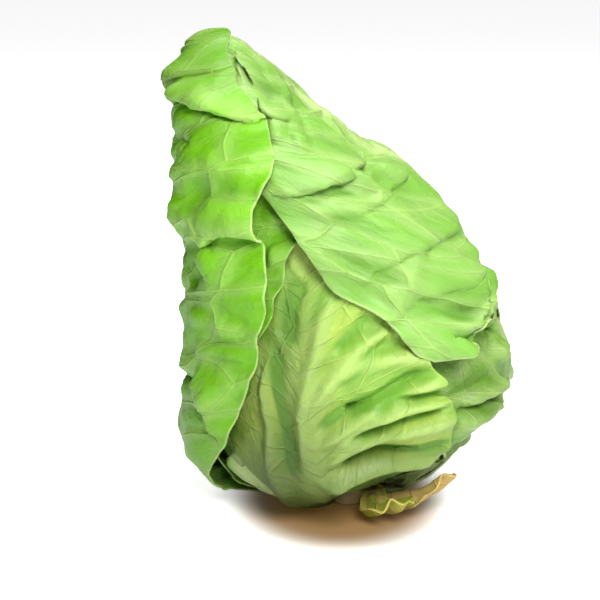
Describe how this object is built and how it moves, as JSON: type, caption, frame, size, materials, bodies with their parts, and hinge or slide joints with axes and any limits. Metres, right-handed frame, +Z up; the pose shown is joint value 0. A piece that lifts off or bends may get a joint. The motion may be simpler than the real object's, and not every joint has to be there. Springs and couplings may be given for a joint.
{
  "type": "pointed cabbage head",
  "caption": "Pointed spring cabbage head: a leaning, teardrop-shaped head of wrapped, veined leaves that stands on its cut stalk.",
  "frame": {"origin": "centre of the stalk's cut face, which lies on the surface that the head stands on", "axes": "+Z up from the cut face; -Y is the side where the front leaf's broad rib climbs from the stalk; the tip leans towards -X"},
  "size_m": [0.1612, 0.1364, 0.2241],
  "materials": {
    "leaf_green": "waxy, semi-gloss, with paler raised veins",
    "leaf_pale": "waxy, semi-gloss, with near-white ribs",
    "inner_leaf": "smooth, semi-gloss",
    "stalk": "moist fibrous cut",
    "stub": "matt, drying, with brown cut edges"
  },
  "bodies": {
    "root": {"stem": "stalk", "heart": "inner_leaf", "inner_leaf_1": "inner_leaf", "inner_leaf_2": "inner_leaf", "inner_leaf_3": "inner_leaf", "inner_leaf_4": "inner_leaf", "lower_left_under_leaf": "leaf_green", "right_under_leaf": "leaf_green", "lower_left_leaf": "leaf_pale", "back_leaf": "leaf_green", "right_low_leaf": "leaf_green", "front_leaf": "leaf_pale", "left_inner_leaf": "leaf_pale", "front_stub": "stub", "right_stub": "stub", "right_leaf": "leaf_green", "left_leaf": "leaf_green"}
  },
  "joints": []
}
